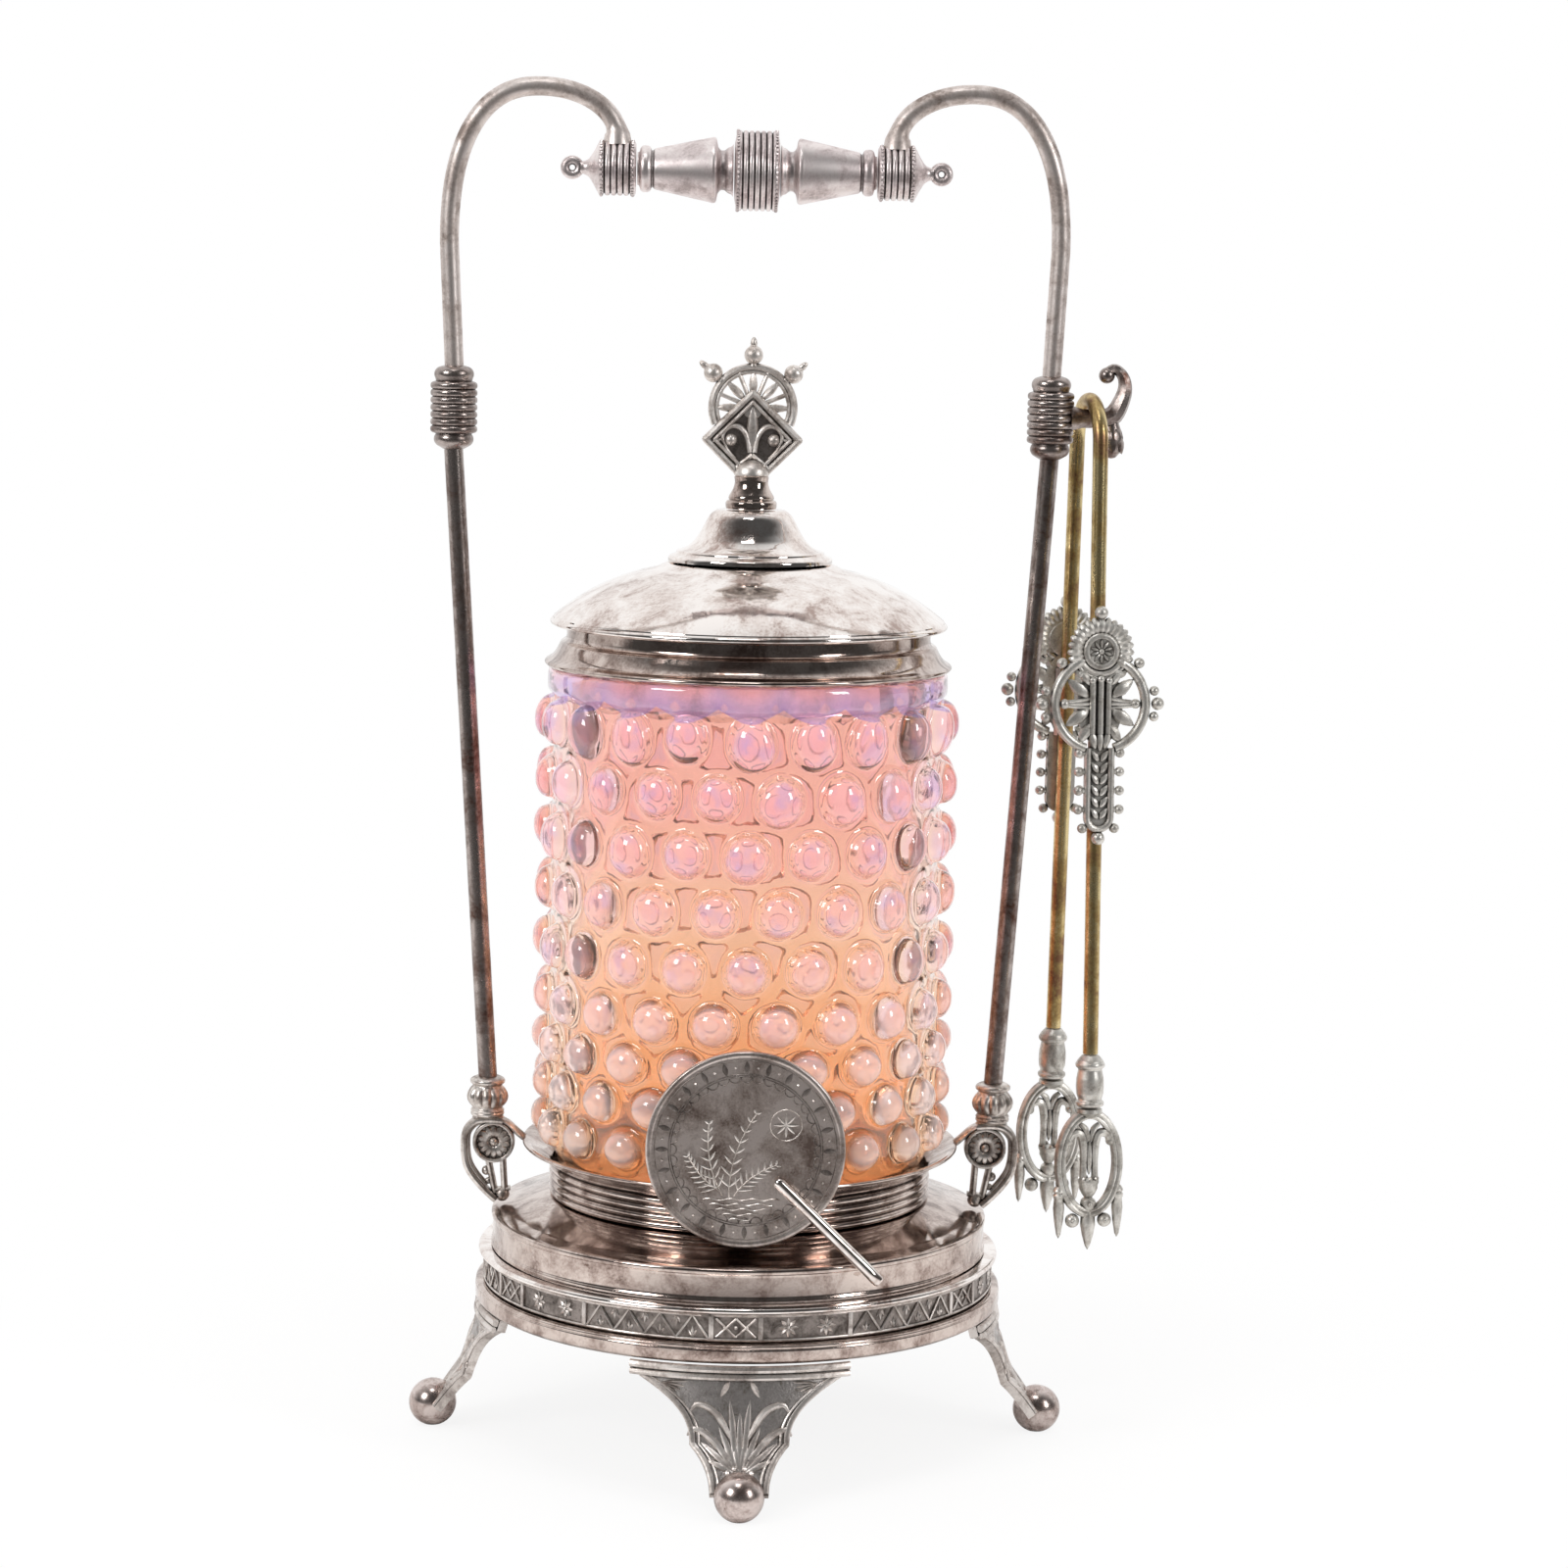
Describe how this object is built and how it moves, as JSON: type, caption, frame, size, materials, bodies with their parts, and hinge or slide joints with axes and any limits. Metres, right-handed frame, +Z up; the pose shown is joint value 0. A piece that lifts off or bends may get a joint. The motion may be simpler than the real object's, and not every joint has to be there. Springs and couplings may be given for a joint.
{
  "type": "pickle castor",
  "caption": "Footed table stand with a tall arched handle, a hobnail glass jar with a domed lid in its cup, and spring tongs hung on a side hook.",
  "frame": {"origin": "middle of the overall footprint, on the plane that the four ball feet stand on; the jar's axis is 8.8 mm to its left, at X = -0.0088", "axes": "+Z up, +X to the side with the hook and tongs, -Y to the front with the round fan plate"},
  "size_m": [0.1668, 0.1486, 0.3042],
  "materials": {
    "plate": "tarnished silver plate over base metal",
    "casting": "pewter grey castings",
    "glass": "opalescent glass, pink above and amber below",
    "wire": "worn gilt on spring wire"
  },
  "bodies": {
    "frame": {"base_drum": "plate", "upper_rim": "plate", "patterned_band": "plate", "lower_rim": "plate", "front_leg": "plate", "right_leg": "plate", "back_leg": "plate", "left_leg": "plate", "front_foot_ball": "plate", "right_foot_ball": "plate", "back_foot_ball": "plate", "left_foot_ball": "plate", "jar_holder": "plate", "left_bracket": "casting", "right_bracket": "casting", "left_knop": "plate", "right_knop": "plate", "left_lower_rod": "plate", "right_lower_rod": "plate", "left_mid_collar": "plate", "right_mid_collar": "plate", "left_arch_rod": "plate", "right_arch_rod": "plate", "left_end_block": "plate", "right_end_block": "plate", "left_grip_cone": "plate", "right_grip_cone": "plate", "grip_barrel": "plate", "tong_hook": "casting", "fan_disc": "plate", "fan_stick": "plate"},
    "jar": {"jar": "glass"},
    "lid": {"lid_dome": "plate", "lid_skirt": "plate", "lid_bezel": "plate", "lid_pedestal": "plate", "finial_stem": "plate", "finial": "casting", "finial_stud": "wire", "finial_nut": "wire"},
    "tongs_bow": {"tongs_bow": "wire"},
    "front_jaw": {"front_arm": "wire", "front_grip_plate": "casting", "front_claw_socket": "casting", "front_claw": "casting"},
    "back_jaw": {"back_arm": "wire", "back_grip_plate": "casting", "back_claw_socket": "casting", "back_claw": "casting"}
  },
  "joints": [
    {"name": "jar_lift", "type": "slide", "parent": "frame", "child": "jar", "axis": [0, 0, 1], "range_m": [0, 0.012]},
    {"name": "lid_lift", "type": "slide", "parent": "jar", "child": "lid", "axis": [0, 0, 1], "range_m": [0, 0.014]},
    {"name": "tongs_swing", "type": "hinge", "parent": "frame", "child": "tongs_bow", "pos_m": [0.06609, 0, 0.2316], "axis": [1, 0, 0], "range_deg": [-3.5, 5]},
    {"name": "front_jaw_squeeze", "type": "hinge", "parent": "tongs_bow", "child": "front_jaw", "pos_m": [0.06774, -0.00936, 0.2262], "axis": [0.9848, 0.1736, 0], "range_deg": [0, 5], "stiffness_Nm_per_rad": 2},
    {"name": "back_jaw_squeeze", "type": "hinge", "parent": "tongs_bow", "child": "back_jaw", "pos_m": [0.06444, 0.00936, 0.2262], "axis": [-0.9848, -0.1736, 0], "range_deg": [0, 5], "stiffness_Nm_per_rad": 2}
  ],
  "couplings": [
    {"joint": "back_jaw_squeeze", "follows": "front_jaw_squeeze", "ratio": 1}
  ]
}
